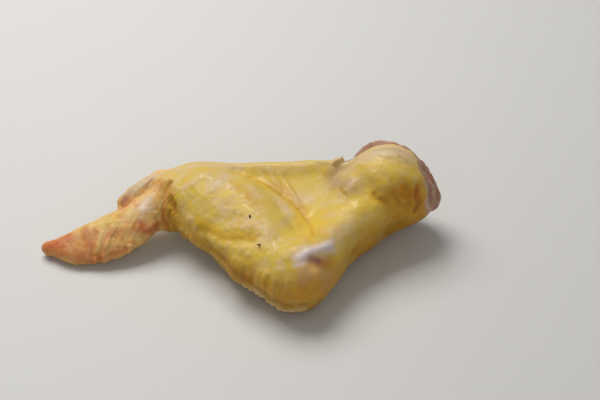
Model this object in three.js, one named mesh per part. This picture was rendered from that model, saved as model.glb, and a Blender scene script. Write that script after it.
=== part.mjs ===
import * as THREE from 'three';

// A raw chicken wing with its skin on, cut at the shoulder and lying on its inner side.
// Upper arm, forearm, hand, thumb and the web of skin in the crook are one smooth body.
// The body is written as a field that is negative inside it, and a skin of triangles is
// then laid where the field is nought. Millimetres, +Z up, the table at height nought.

// Bones seen from above: lengths, and headings in degrees round from +X.
const FOREARM_LENGTH = 72.5;
const FOREARM_HEADING = 141.2;
const UPPER_ARM_LENGTH = 66;
const UPPER_ARM_HEADING = 49.4;
const HAND_LENGTH = 54.5;
const HAND_HEADING = 196.5;
const THUMB_LENGTH = 21;
const THUMB_HEADING = 206;

// The shoulder end: the domed cut through the meat, the slanting edge of the skin that has
// drawn back from it, and the round head of the bone.
const CUT_HEADING = 62;
const CUT_LEAN = 7;
const CUT_DOME_RADIUS = 48;
const MEAT_EDGE_ROUND = 5;
const MEAT_INSET = 1.4;
const MEAT_BUNDLES = 5;
const MEAT_BUNDLE_DEPTH = 0.9;
const SKIN_EDGE_HEADING = 63;
const SKIN_EDGE_LEAN = -14;
const SKIN_EDGE_BACK = 7.5;
const SKIN_EDGE_ROUND = 2;
const BONE_HEAD_RADIUS = 8;
const BONE_HEAD_SUNK = 4;
const BONE_HEAD_FILLET = 1.2;
const MEAT_FILLET = 0.8;
const CUT_DOME_RISE = 4;
const BUNDLES_FROM = 4;
const BUNDLES_FULL = 14;

// How softly one form runs into the next.
const LIMB_BLEND = 7;
const WEB_BLEND = 5;
const HAND_BLEND = 4;
const THUMB_BLEND = 4;

// The skin of triangles: the grid's cells, the finer ones at the hand, and the rounds of
// evening out.
const CELL = 2.5;
const HAND_CELL = 2;
const SETTLE_ROUNDS = 6;

const radians = (degrees) => degrees * Math.PI / 180;
const lerp = (a, b, t) => a + (b - a) * t;
const clamp = (value, low, high) => Math.min(high, Math.max(low, value));
const smoothstep = (low, high, value) => {
  const t = clamp((value - low) / (high - low), 0, 1);
  return t * t * (3 - 2 * t);
};
const heading = (degrees) => [Math.cos(radians(degrees)), Math.sin(radians(degrees))];

// Two forms joined, or the part common to both, with a fillet of the given size.
function join(a, b, fillet) {
  const h = Math.max(fillet - Math.abs(a - b), 0) / fillet;
  return Math.min(a, b) - h * h * fillet / 4;
}
const common = (a, b, fillet) => -join(-a, -b, fillet);

// A bone has a start, a heading, a length and a sign that says which side leads.
function makeBone(start, degrees, length, lead) {
  const along = heading(degrees);
  const side = heading(degrees + 90 * lead);
  const place = (t, offset, z) => [
    start[0] + along[0] * length * t + side[0] * offset,
    start[1] + along[1] * length * t + side[1] * offset,
    z,
  ];
  return { start, along, side, length, lead, place };
}

const ELBOW = [0, 0];
const forearm = makeBone(ELBOW, FOREARM_HEADING, FOREARM_LENGTH, -1);
const upperArm = makeBone(ELBOW, UPPER_ARM_HEADING, UPPER_ARM_LENGTH, 1);
const WRIST = forearm.place(1, 2, 0);
const hand = makeBone(WRIST, HAND_HEADING, HAND_LENGTH, -1);
const THUMB_ROOT = hand.place(0.03, 9.8, 0);
const thumb = makeBone(THUMB_ROOT, THUMB_HEADING, THUMB_LENGTH, -1);

// One station of a limb: how far along its bone, how far to the leading side, its height,
// half its width, half its thickness, and its roll in degrees with the leading side up.
const station = (t, offset, z, halfWidth, halfThickness, roll) => (
  { t, offset, z, halfWidth, halfThickness, roll });

// A limb is an oval swept through its stations, kept as samples along its spine.
const SAMPLES_PER_LIMB = 40;
function makeLimb(bone, stations, startCap, endCap) {
  const centres = stations.map((s) => new THREE.Vector3(...bone.place(s.t, s.offset, s.z)));
  const spine = new THREE.CatmullRomCurve3(centres, false, 'centripetal');
  const samples = [];
  for (let i = 0; i <= SAMPLES_PER_LIMB; i += 1) {
    const u = i / SAMPLES_PER_LIMB;
    const place = u * (stations.length - 1);
    const first = Math.min(Math.floor(place), stations.length - 2);
    const mix = (smoothstep(0, 1, place - first) + place - first) / 2;
    const between = (key) => lerp(stations[first][key], stations[first + 1][key], mix);
    const tangent = spine.getTangent(u);
    const level = new THREE.Vector3(-tangent.y, tangent.x, 0).normalize().multiplyScalar(bone.lead);
    const up = new THREE.Vector3().crossVectors(tangent, level).multiplyScalar(bone.lead);
    const roll = radians(between('roll'));
    const side = level.clone().multiplyScalar(Math.cos(roll)).addScaledVector(up, Math.sin(roll));
    const rolledUp = up.clone().multiplyScalar(Math.cos(roll)).addScaledVector(level, -Math.sin(roll));
    samples.push({
      centre: spine.getPoint(u).toArray(),
      tangent: tangent.toArray(),
      side: side.toArray(),
      up: rolledUp.toArray(),
      width: between('halfWidth'),
      thickness: between('halfThickness'),
    });
  }
  return { samples, startCap, endCap };
}

const dot = (a, b) => a[0] * b[0] + a[1] * b[1] + a[2] * b[2];
const minus = (a, b) => [a[0] - b[0], a[1] - b[1], a[2] - b[2]];
const between = (a, b, t) => [lerp(a[0], b[0], t), lerp(a[1], b[1], t), lerp(a[2], b[2], t)];

// How far along the line from one point to another the nearest place to a third lies.
function alongLine(from, to, point) {
  const line = minus(to, from);
  return clamp(dot(minus(point, from), line) / dot(line, line), 0, 1);
}

// Distance from a point to a limb's surface, negative inside.
function limbField(limb, point) {
  const { samples, startCap, endCap } = limb;
  let nearest = 0;
  let nearestSquare = Infinity;
  samples.forEach(({ centre }, index) => {
    const away = minus(point, centre);
    const square = dot(away, away);
    if (square < nearestSquare) {
      nearestSquare = square;
      nearest = index;
    }
  });
  let found = null;
  [nearest - 1, nearest].forEach((first) => {
    if (first < 0 || first > samples.length - 2) return;
    const a = samples[first];
    const b = samples[first + 1];
    const t = alongLine(a.centre, b.centre, point);
    const away = minus(point, between(a.centre, b.centre, t));
    const square = dot(away, away);
    if (found === null || square < found.square) found = { a, b, t, away, square, first };
  });
  const { a, b, t, away, first } = found;
  const width = lerp(a.width, b.width, t);
  const thickness = lerp(a.thickness, b.thickness, t);
  const across = dot(away, between(a.side, b.side, t));
  const above = dot(away, between(a.up, b.up, t));
  const atEnd = (first === 0 && t === 0) || (first === samples.length - 2 && t === 1);
  const past = atEnd ? dot(away, between(a.tangent, b.tangent, t)) : 0;
  const cap = past > 0 ? endCap : startCap;
  const ratio = Math.hypot(across / width, above / thickness, past / cap);
  const slope = Math.hypot(across / width ** 2, above / thickness ** 2, past / cap ** 2);
  return slope > 1e-9 ? ratio * (ratio - 1) / slope : -Math.min(width, thickness);
}

const forearmLimb = makeLimb(forearm, [
  station(0.04, -1, 12.6, 13, 13, 0),
  station(0.3, 2, 14.5, 17.5, 12.5, 14),
  station(0.6, 8, 16.5, 19, 12, 20),
  station(0.85, 7.5, 17.5, 17.5, 11, 22),
  station(1.02, 3.5, 17.5, 13.5, 9.5, 22),
], 13, 7);

const upperArmLimb = makeLimb(upperArm, [
  station(0.0, 0.5, 12.6, 13, 13, 0),
  station(0.4, 1.5, 14.5, 11.5, 11.5, 0),
  station(0.7, 2, 17, 14, 14, 6),
  station(0.94, 3, 20.2, 19.5, 18.8, 18),
  station(1.2, 6, 22.2, 24, 20.2, 14),
], 13, 6);

// Loose skin that hangs under the shoulder and rests on the table.
const armpitLimb = makeLimb(upperArm, [
  station(0.66, 4, 7.4, 7, 6.8, 0),
  station(0.9, 5, 7, 9, 7.9, 0),
], 8, 6);

const handLimb = makeLimb(hand, [
  station(-0.05, 0, 16, 11, 8.5, 20),
  station(0.2, -4, 13, 8.5, 6.5, 20),
  station(0.5, -7, 8.4, 11, 5.2, 20),
  station(0.78, -6.4, 5.1, 9, 4.6, 20),
  station(0.99, -2.2, 3.6, 3.8, 3.3, 15),
], 8, 4.5);

const thumbLimb = makeLimb(thumb, [
  station(0.0, 0, 19, 6, 5.5, 10),
  station(0.5, 0, 17, 5, 4.6, 10),
  station(0.9, -0.5, 14.5, 3.4, 3.2, 10),
], 5, 3);

// The web of skin: a thin sheet over the crook. Its three corners lie inside the limbs,
// and a round cord, the taut tendon in its front edge, runs from wrist to shoulder.
const WEB_WRIST = forearm.place(1.0, 16.5, 23);
const WEB_SHOULDER = upperArm.place(0.97, 9, 29);
const WEB_CROOK = upperArm.place(0.1, 0, 16);
const WEB_HALF_THICKNESS = 2.4;
const WEB_SLOPE = 0.92;
const WEB_SAG = 2.2;
const WEB_SAG_REACH = 22;
const TENDON_RADIUS = 2.7;
const WEB_RIM_ROUND = 2;

const frontEdge = minus(WEB_SHOULDER, WEB_WRIST);
const FRONT_HEADING = Math.atan2(frontEdge[1], frontEdge[0]) * 180 / Math.PI;
const front = makeBone(WEB_WRIST, FRONT_HEADING, Math.hypot(frontEdge[0], frontEdge[1]), 1);
const tendonLimb = makeLimb(front, [
  station(0, 0, WEB_WRIST[2], TENDON_RADIUS, TENDON_RADIUS, 0),
  station(0.5, -0.5, (WEB_WRIST[2] + WEB_SHOULDER[2]) / 2, TENDON_RADIUS, TENDON_RADIUS, 0),
  station(1, 0, WEB_SHOULDER[2], TENDON_RADIUS, TENDON_RADIUS, 0),
], TENDON_RADIUS, TENDON_RADIUS);

function webField([x, y, z]) {
  const [ax, ay, az] = WEB_WRIST;
  const [bx, by, bz] = WEB_SHOULDER;
  const [cx, cy, cz] = WEB_CROOK;
  const whole = (by - cy) * (ax - cx) + (cx - bx) * (ay - cy);
  const wristShare = ((by - cy) * (x - cx) + (cx - bx) * (y - cy)) / whole;
  const shoulderShare = ((cy - ay) * (x - cx) + (ax - cx) * (y - cy)) / whole;
  const crookShare = 1 - wristShare - shoulderShare;
  const inward = crookShare * Math.abs(whole) / Math.hypot(bx - ax, by - ay);
  const fromWristSide = wristShare * Math.abs(whole) / Math.hypot(bx - cx, by - cy);
  const fromShoulderSide = shoulderShare * Math.abs(whole) / Math.hypot(ax - cx, ay - cy);
  const middle = 4 * clamp(wristShare, 0, 1) * clamp(shoulderShare, 0, 1);
  const flat = wristShare * az + shoulderShare * bz + crookShare * cz;
  const height = flat - WEB_SAG * middle * smoothstep(0, WEB_SAG_REACH, inward);
  const sheet = Math.abs(z - height) * WEB_SLOPE - WEB_HALF_THICKNESS;
  return common(sheet, -Math.min(inward, fromWristSide, fromShoulderSide), WEB_RIM_ROUND);
}

function fleshField(point) {
  let d = join(limbField(forearmLimb, point), limbField(upperArmLimb, point), LIMB_BLEND);
  const web = join(webField(point), limbField(tendonLimb, point), WEB_BLEND);
  d = join(d, limbField(armpitLimb, point), LIMB_BLEND);
  d = join(d, web, WEB_BLEND);
  d = join(d, limbField(handLimb, point), HAND_BLEND);
  return join(d, limbField(thumbLimb, point), THUMB_BLEND);
}

// Height of the flesh's upper side over a place seen from above.
const SKY = 45;
function topOf(x, y) {
  let above = SKY;
  while (above > 0 && fleshField([x, y, above]) > 0) above -= 0.5;
  let below = above;
  above += 0.5;
  for (let i = 0; i < 8; i += 1) {
    const middle = (above + below) / 2;
    if (fleshField([x, y, middle]) > 0) above = middle;
    else below = middle;
  }
  return below;
}

// Folds, hollows and swellings of the skin. Each follows a line of places on a bone, given
// as shares of its length and distances to its leading side, laid on the upper side of the
// flesh. It has half a width and a depth, and a swelling's depth is negative.
const relief = (bone, places, width, depth) => ({
  line: places.map(([t, offset]) => {
    const [x, y] = bone.place(t, offset, 0);
    return [x, y, topOf(x, y)];
  }),
  width,
  depth,
});

const folds = [
  // Long fold between the forearm's muscle and the web, deepest in its middle.
  relief(forearm, [[0.74, 24.5], [0.6, 24], [0.45, 21.5], [0.33, 18]], 2.6, 1.5),
  relief(forearm, [[0.62, 24], [0.45, 21.5], [0.33, 18], [0.16, 11]], 2.4, 1.2),
  // Fold round the wrist, with a hollow behind it.
  relief(forearm, [[1.0, -2], [0.96, -7.5], [0.94, -9.7], [0.925, -11.5]], 2, 1.8),
  relief(forearm, [[0.93, -6], [0.87, -7.5], [0.83, -9]], 4, 1.3),
  // Fold between thumb and hand.
  relief(hand, [[0.34, 4.5], [0.27, 4.2], [0.2, 4], [0.13, 6.5]], 1.8, 1.1),
  // Fold along the lower side of the forearm.
  relief(forearm, [[0.66, -8], [0.5, -8], [0.38, -7], [0.25, -2.5]], 2.2, 0.9),
  // Hollow between the upper arm and the shoulder.
  relief(upperArm, [[0.66, 2], [0.68, -5], [0.73, -11], [0.75, -14]], 5, 1.8),
  relief(upperArm, [[0.55, 8], [0.56, 3]], 2.5, 1),
  // Edge where the thin shoulder skin begins, and the notch below it.
  relief(upperArm, [[0.82, 6], [0.865, 1], [0.925, -4], [0.97, -8]], 2, 0.9),
  relief(upperArm, [[0.87, -15.5], [0.9, -18]], 2.4, 2),
  // Gristle and dimple over the elbow, and the knob of bone beside them.
  relief(upperArm, [[0.03, -1.5], [0.06, -4.5], [0.14, -5.5]], 4, -1.2),
  relief(upperArm, [[0.0, -6.8], [0.035, -9.2], [0.07, -11]], 2.6, 1.3),
  relief(upperArm, [[-0.03, -11.5]], 5, -1.2),
  // Muscle that swells under the web beside the shoulder.
  relief(upperArm, [[0.64, 11]], 7, -1.3),
  // Muscle along the forearm and along the upper arm.
  relief(forearm, [[0.78, 10], [0.5, 9], [0.3, 6]], 8, -1),
  relief(upperArm, [[0.1, -1], [0.3, -2], [0.45, -3.5]], 4, -0.8),
];

// Small pleats of loose skin along the forearm's trailing side and its nub near the wrist.
const PLEATS = 8;
const FIRST_PLEAT = 0.1;
const LAST_PLEAT = 0.8;
const PLEAT_WIDTH = 3;
const PLEAT_RISE = 0.9;
const PLEAT_DIP = 0.6;
for (let i = 0; i < PLEATS; i += 1) {
  const t = lerp(FIRST_PLEAT, LAST_PLEAT, i / (PLEATS - 1));
  const offset = lerp(-13.5, -9, smoothstep(0.25, LAST_PLEAT, t));
  folds.push(relief(forearm, [[t, offset]], PLEAT_WIDTH, i % 2 ? PLEAT_DIP : -PLEAT_RISE));
}
folds.push(relief(forearm, [[0.845, -10.5]], 1.8, -1.6));

const REACH_OF_FOLDS = 3;
function foldDepth(point) {
  let total = 0;
  folds.forEach(({ line, width, depth }) => {
    let square = Infinity;
    for (let i = 0; i < Math.max(1, line.length - 1); i += 1) {
      const to = line[Math.min(i + 1, line.length - 1)];
      const t = line.length > 1 ? alongLine(line[i], to, point) : 0;
      const away = minus(point, between(line[i], to, t));
      square = Math.min(square, dot(away, away));
    }
    const share = square / width ** 2;
    if (share < REACH_OF_FOLDS ** 2) total += depth * Math.exp(-share);
  });
  return total;
}

// The two planes at the shoulder, each through one point with one direction outwards.
const outward = (degrees, lean) => [
  Math.cos(radians(degrees)) * Math.cos(radians(lean)),
  Math.sin(radians(degrees)) * Math.cos(radians(lean)),
  Math.sin(radians(lean)),
];
const CUT_CENTRE = upperArm.place(1.115, 4.5, 21.5);
const CUT_OUTWARD = outward(CUT_HEADING, CUT_LEAN);
const SKIN_EDGE_OUTWARD = outward(SKIN_EDGE_HEADING, SKIN_EDGE_LEAN);
const fromCut = (share) => CUT_CENTRE.map((c, axis) => c + CUT_OUTWARD[axis] * share);
const domeCentre = fromCut(CUT_DOME_RISE - CUT_DOME_RADIUS);
const boneHead = fromCut(-BONE_HEAD_SUNK);

function shoulderMeat(point) {
  const across = minus(point, CUT_CENTRE);
  const angle = Math.atan2(across[2], across[0]);
  const radius = Math.hypot(across[0], across[2]);
  const fanned = smoothstep(BUNDLES_FROM, BUNDLES_FULL, radius);
  const bundles = MEAT_BUNDLE_DEPTH * Math.cos(angle * MEAT_BUNDLES) * fanned;
  const away = minus(point, domeCentre);
  const dome = Math.hypot(...away) - CUT_DOME_RADIUS + bundles;
  const meat = common(limbField(upperArmLimb, point) + MEAT_INSET, dome, MEAT_EDGE_ROUND);
  const bone = Math.hypot(...minus(point, boneHead)) - BONE_HEAD_RADIUS;
  return join(meat, bone, BONE_HEAD_FILLET);
}

const NEAR_CUT = -34;
function wingField(point) {
  const beyond = dot(minus(point, CUT_CENTRE), CUT_OUTWARD);
  const pastSkin = dot(minus(point, CUT_CENTRE), SKIN_EDGE_OUTWARD) + SKIN_EDGE_BACK;
  let d = common(fleshField(point) + foldDepth(point), pastSkin, SKIN_EDGE_ROUND);
  if (beyond > NEAR_CUT) d = join(d, shoulderMeat(point), MEAT_FILLET);
  return Math.max(d, -point[2]);
}

// Grid lines between two ends, with cells of one size up to a turning place and of
// another size after it.
const GRID_EASE = 15;
function gridLines(low, high, firstCell, turning, secondCell) {
  const lines = [low];
  while (lines[lines.length - 1] < high) {
    const last = lines[lines.length - 1];
    const mix = smoothstep(turning - GRID_EASE, turning + GRID_EASE, last);
    lines.push(last + lerp(firstCell, secondCell, mix));
  }
  return lines;
}

// A cell's corners are numbered by bits: 1 for +X, 2 for +Y and 4 for +Z. An edge is known
// by its axis and its lower corner, a face by its corners in turn.
const AXES = [0, 1, 2];
const CORNERS = [0, 1, 2, 3, 4, 5, 6, 7];
const FACES = [[0, 1, 3, 2], [4, 5, 7, 6], [0, 1, 5, 4], [2, 3, 7, 6], [0, 2, 6, 4], [1, 3, 7, 5]];
const EDGES_PER_CELL = 24;
const edgeNumber = (a, b) => Math.log2(Math.abs(a - b)) * 8 + Math.min(a, b);
const EDGES = AXES.flatMap((axis) => (
  CORNERS.filter((c) => !(c & (1 << axis))).map((c) => [c, c | (1 << axis)])));

// Groups a cell's crossed edges into loops, each the rim of one piece of surface. On a face
// crossed four times the two edges at each inside corner belong together.
function loopsOf(inside) {
  const group = new Map();
  EDGES.forEach(([a, b]) => {
    if (inside[a] !== inside[b]) group.set(edgeNumber(a, b), edgeNumber(a, b));
  });
  const merge = (one, other) => {
    const from = group.get(one);
    const to = group.get(other);
    group.forEach((value, key) => {
      if (value === from) group.set(key, to);
    });
  };
  FACES.forEach((face) => {
    const crossed = face.filter((c, n) => inside[c] !== inside[face[(n + 1) % 4]]);
    if (crossed.length === 4) {
      face.forEach((c, n) => {
        if (inside[c]) merge(edgeNumber(c, face[(n + 1) % 4]), edgeNumber(c, face[(n + 3) % 4]));
      });
    } else if (crossed.length === 2) {
      const [one, other] = crossed.map((c) => edgeNumber(c, face[(face.indexOf(c) + 1) % 4]));
      merge(one, other);
    }
  });
  return group;
}

// A skin of triangles over the field's zero: one vertex for each loop of a cell that the
// surface crosses, and one four-sided face round each grid edge that it crosses.
function layNet(field, lines) {
  const [nx, ny, nz] = lines.map((line) => line.length);
  const at = (i, j, k) => (k * ny + j) * nx + i;
  const values = new Float64Array(nx * ny * nz);
  const everyPlace = (first, last, visit) => {
    for (let k = first; k < nz - last; k += 1) {
      for (let j = first; j < ny - last; j += 1) {
        for (let i = first; i < nx - last; i += 1) visit(i, j, k);
      }
    }
  };
  everyPlace(0, 0, (i, j, k) => {
    values[at(i, j, k)] = field([lines[0][i], lines[1][j], lines[2][k]]);
  });
  const vertexOf = new Int32Array(nx * ny * nz * EDGES_PER_CELL).fill(-1);
  const positions = [];
  everyPlace(0, 1, (i, j, k) => {
    const places = CORNERS.map((c) => [i + (c & 1), j + ((c >> 1) & 1), k + (c >> 2)]);
    const value = places.map((place) => values[at(...place)]);
    const inside = value.map((v) => v < 0);
    if (inside.every((v) => v === inside[0])) return;
    const loops = loopsOf(inside);
    new Set(loops.values()).forEach((loop) => {
      const members = EDGES.filter(([a, b]) => loops.get(edgeNumber(a, b)) === loop);
      const crossings = members.map(([a, b]) => {
        const t = value[a] / (value[a] - value[b]);
        return AXES.map((axis) => lerp(lines[axis][places[a][axis]], lines[axis][places[b][axis]], t));
      });
      members.forEach(([a, b]) => {
        vertexOf[at(i, j, k) * EDGES_PER_CELL + edgeNumber(a, b)] = positions.length;
      });
      positions.push(AXES.map((axis) => (
        crossings.reduce((sum, place) => sum + place[axis], 0) / crossings.length)));
    });
  });
  const quads = [];
  everyPlace(1, 1, (i, j, k) => {
    const here = values[at(i, j, k)] < 0;
    AXES.forEach((axis) => {
      const step = AXES.map((other) => (other === axis ? 1 : 0));
      if (here === values[at(i + step[0], j + step[1], k + step[2])] < 0) return;
      const [u, v] = [(axis + 1) % 3, (axis + 2) % 3];
      const quad = [[0, 0], [1, 0], [1, 1], [0, 1]].map(([back, down]) => {
        const cell = [i, j, k];
        cell[u] -= back;
        cell[v] -= down;
        const corner = (back << u) + (down << v);
        const edge = edgeNumber(corner, corner | (1 << axis));
        return vertexOf[at(...cell) * EDGES_PER_CELL + edge];
      });
      quads.push(here ? quad : quad.reverse());
    });
  });
  return { positions, quads };
}

// Evens out the net, and brings each vertex back to the field's zero after each round.
const PROBE = 0.05;
const FLATTEST = 0.01;
const LONGEST_STEP = 0.8;
function settle(net, field, rounds) {
  const { positions, quads } = net;
  const neighbours = positions.map(() => new Set());
  quads.forEach((quad) => quad.forEach((v, i) => {
    neighbours[v].add(quad[(i + 1) % 4]);
    neighbours[v].add(quad[(i + 3) % 4]);
  }));
  const pull = (p) => {
    const value = field(p);
    const slope = AXES.map((axis) => {
      const ahead = [...p];
      const behind = [...p];
      ahead[axis] += PROBE;
      behind[axis] -= PROBE;
      return (field(ahead) - field(behind)) / (2 * PROBE);
    });
    const square = slope[0] ** 2 + slope[1] ** 2 + slope[2] ** 2;
    if (square < FLATTEST) return p;
    const step = clamp(value / square, -LONGEST_STEP, LONGEST_STEP);
    return p.map((c, axis) => c - slope[axis] * step);
  };
  let current = positions.map(pull);
  for (let round = 0; round < rounds; round += 1) {
    const moved = current.map((p, index) => {
      const around = [...neighbours[index]];
      const mean = AXES.map((axis) => (
        around.reduce((sum, n) => sum + current[n][axis], 0) / around.length));
      return p.map((c, axis) => lerp(c, mean[axis], 0.5));
    });
    current = moved.map(pull).map(pull);
  }
  return current;
}

// The grid's lines reach a little past the flesh on every side.
const GRID_LOW = [-118, -20, -1.5 * CELL];
const GRID_HIGH = [68, 72, SKY];

function buildWing() {
  const turning = [WRIST[0], GRID_HIGH[1], GRID_HIGH[2]];
  const lines = AXES.map((axis) => (
    gridLines(GRID_LOW[axis], GRID_HIGH[axis], axis ? CELL : HAND_CELL, turning[axis], CELL)));
  const net = layNet(wingField, lines);
  const settled = settle(net, wingField, SETTLE_ROUNDS);
  settled.forEach((place) => {
    place[2] = Math.max(place[2], 0);
  });
  const geometry = new THREE.BufferGeometry();
  geometry.setAttribute('position', new THREE.Float32BufferAttribute(settled.flat(), 3));
  geometry.setIndex(net.quads.flatMap(([a, b, c, d]) => {
    const across = Math.hypot(...minus(settled[a], settled[c]));
    const other = Math.hypot(...minus(settled[b], settled[d]));
    return across < other ? [a, b, c, a, c, d] : [a, b, d, b, c, d];
  }));
  return geometry;
}

// The origin goes to the middle of the wing's box, at the height of the table.
const geometry = buildWing();
geometry.computeBoundingBox();
const middle = geometry.boundingBox.getCenter(new THREE.Vector3());
geometry.translate(-middle.x, -middle.y, 0);
geometry.computeVertexNormals();

const skin = new THREE.MeshStandardMaterial({
  name: 'skin',
  color: 0xd9b463,
  roughness: 0.45,
  metalness: 0,
});

const wing = new THREE.Mesh(geometry, skin);
wing.name = 'chicken_wing';
wing.userData.elbow = [-middle.x, -middle.y, 0];

const model = new THREE.Group();
model.name = 'raw_chicken_wing';
model.add(wing);

export default model;
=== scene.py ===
"""A raw chicken wing lying on its inner side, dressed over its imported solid.

The solid is copied, remeshed finely and worked like clay: folds, pleats, follicles and
the edge of the skin are pressed in or raised, and each zone of the skin is painted into
a point attribute that the skin's material reads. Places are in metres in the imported
frame; the clay is worked in millimetres.
"""

import math
import random

import bmesh
import bpy
import numpy as np
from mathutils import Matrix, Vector, noise


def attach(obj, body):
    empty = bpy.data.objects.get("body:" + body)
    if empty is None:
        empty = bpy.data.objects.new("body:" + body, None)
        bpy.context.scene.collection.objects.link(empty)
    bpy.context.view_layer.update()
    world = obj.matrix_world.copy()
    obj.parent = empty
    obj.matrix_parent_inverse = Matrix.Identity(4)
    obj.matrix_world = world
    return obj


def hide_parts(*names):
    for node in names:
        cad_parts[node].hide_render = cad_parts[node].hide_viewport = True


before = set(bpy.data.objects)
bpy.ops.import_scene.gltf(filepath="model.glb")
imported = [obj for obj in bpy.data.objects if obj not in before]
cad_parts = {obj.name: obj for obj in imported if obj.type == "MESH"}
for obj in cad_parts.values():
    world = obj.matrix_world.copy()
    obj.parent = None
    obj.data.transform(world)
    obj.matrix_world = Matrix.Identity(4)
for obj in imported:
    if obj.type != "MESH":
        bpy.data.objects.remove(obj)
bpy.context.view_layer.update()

bl_info = {
    "name": "Raw chicken wing",
    "version": (1, 0, 0),
    "blender": (4, 5, 0),
    "location": "View3D > Sidebar > Wing",
    "description": "Dresses the packed solid of a raw chicken wing",
    "category": "Object",
}

MM = 0.001
SOLID = "chicken_wing"
PIECE = "skinned_wing"
BODY = "root"


def shade(red, green, blue):
    """A colour given from 0 to 255 as a screen shows it, made linear."""
    linear = []
    for part in (red, green, blue):
        part /= 255
        linear.append(part / 12.92 if part <= 0.04045 else ((part + 0.055) / 1.055) ** 2.4)
    return tuple(linear)


# Sizes and colours that a user would change.


def size_mm(name, description, default):
    """A length property in metres, whose default is given in millimetres."""
    return bpy.props.FloatProperty(
        name=name, description=description, default=default * MM, unit="LENGTH", precision=5
    )


def tint(name, description, red, green, blue):
    """A colour property whose default is given from 0 to 255."""
    return bpy.props.FloatVectorProperty(
        name=name,
        description=description,
        default=shade(red, green, blue),
        subtype="COLOR",
        size=3,
        min=0,
        max=1,
    )


class WingSizes(bpy.types.PropertyGroup):
    """Sizes of the fine relief on the wing."""

    grain: size_mm("Mesh grain", "Size of the mesh's cells", 0.55)
    goosebump_spacing: size_mm("Goosebump spacing", "Distance between follicles", 3.1)
    goosebump_height: size_mm("Goosebump height", "How far a follicle stands up", 0.16)
    lump_height: size_mm("Lump height", "How far the fat under the skin stands up", 0.35)
    quill_spacing: size_mm("Quill spacing", "Distance between the large follicles", 4.6)
    skin_lip: size_mm("Skin lip", "How far the cut edge of the skin stands up", 0.9)
    stub_width: size_mm("Stub width", "Width of a broken feather shaft", 0.75)


class WingColours(bpy.types.PropertyGroup):
    """Colours of the wing, as flat paint would show them."""

    skin: tint("Skin", "Plain skin", 205, 176, 88)
    fat: tint("Fat", "Skin over yellow fat", 216, 180, 52)
    pale: tint("Pale skin", "Thin pale skin", 210, 182, 134)
    grey: tint("Grey skin", "Skin over sinew", 204, 179, 148)
    gristle: tint("Gristle", "Bare gristle at the elbow and the hand", 222, 212, 222)
    # Ochre skin: the colour of skin over dark meat, and also painted shade on the faces that turn
    # down towards the front and in folds and hollows.
    ochre: tint("Ochre skin", "Skin over dark meat", 192, 130, 0)
    # Hollows: painted shade in the skin's hollows, pits, folds and grooves, and low on the front
    # near the table.
    hollow: tint("Hollows", "Dark hollows and pits of the skin", 120, 70, 0)
    pink: tint("Pink skin", "Skin of the hand", 234, 188, 110)
    blush: tint("Blush", "Red under the skin", 184, 74, 38)
    bruise: tint("Bruise", "Purple in the dimple at the elbow", 160, 92, 110)
    meat: tint("Meat", "Cut meat", 150, 104, 82)
    sinew: tint("Sinew", "Membrane between the bundles of meat", 208, 182, 152)
    bone: tint("Bone head", "Gristle cap of the bone", 214, 200, 178)
    quill: tint("Quill", "Broken feather shafts", 46, 34, 28)
    table: tint("Table", "Plain pale floor", 205, 204, 201)


def sizes():
    return bpy.context.scene.wing_sizes


def colours():
    return bpy.context.scene.wing_colours


# Where things are: bones seen from above, in millimetres.


class Bone:
    """A bone from above: a start, a heading, a length, and the side that leads."""

    def __init__(self, start, heading, length, lead):
        turn, side = math.radians(heading), math.radians(heading + 90 * lead)
        self.start = np.array(start, float)
        self.length = length
        self.heading = np.array((math.cos(turn), math.sin(turn)))
        self.side = np.array((math.cos(side), math.sin(side)))

    def place(self, share, offset):
        """The spot at a share of the bone's length and an offset to its leading side."""
        return self.start + self.heading * self.length * share + self.side * offset

    def measure(self, points):
        """How far along the bone and how far to its leading side each point is."""
        flat = (points[:, :2] - self.start) @ np.stack((self.heading, self.side)).T
        return flat[:, 0], flat[:, 1]


ELBOW = (25.168, -27.225)
UPPER_ARM_HEADING = 49.4
FOREARM = Bone(ELBOW, 141.2, 72.5, -1)
UPPER_ARM = Bone(ELBOW, UPPER_ARM_HEADING, 66, 1)
HAND = Bone(FOREARM.place(1, 2), 196.5, 54.5, -1)
HAND_LOWER_EDGE = -16.8


def outward(heading, lean):
    """A direction from its heading and how far it leans up, in degrees."""
    turn, up = math.radians(heading), math.radians(lean)
    return np.array(
        (math.cos(turn) * math.cos(up), math.sin(turn) * math.cos(up), math.sin(up))
    )


# The cut through the shoulder: its middle, the planes of the skin's drawn-back edge on top
# and of the thin layer's edge under it, and the bone's head, which is sunk into the meat.
CUT_CENTRE = np.array((*UPPER_ARM.place(1.115, 4.5), 21.5))
CUT_FACING = outward(62, 7)
UNDER_EDGE_FACING = outward(63, -14)
UNDER_EDGE_BACK = 7.5
SKIN_EDGE = np.array((ELBOW[0] + 41.7, ELBOW[1] + 49.3, 34.6))
SKIN_EDGE_FACING = outward(71.6, -34.7)
BONE_HEAD_SUNK, BONE_HEAD_RADIUS = 4, 8


def smoothly(low, high, value):
    """0 at low, 1 at high, and a smooth step between them."""
    share = np.clip((value - low) / (high - low), 0, 1)
    return share * share * (3 - 2 * share)


def bell(distance, width):
    """1 at no distance, falling smoothly to almost 0 at twice the width."""
    return np.exp(-((distance / width) ** 2))


# The wing's skin, worked like clay.


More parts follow.
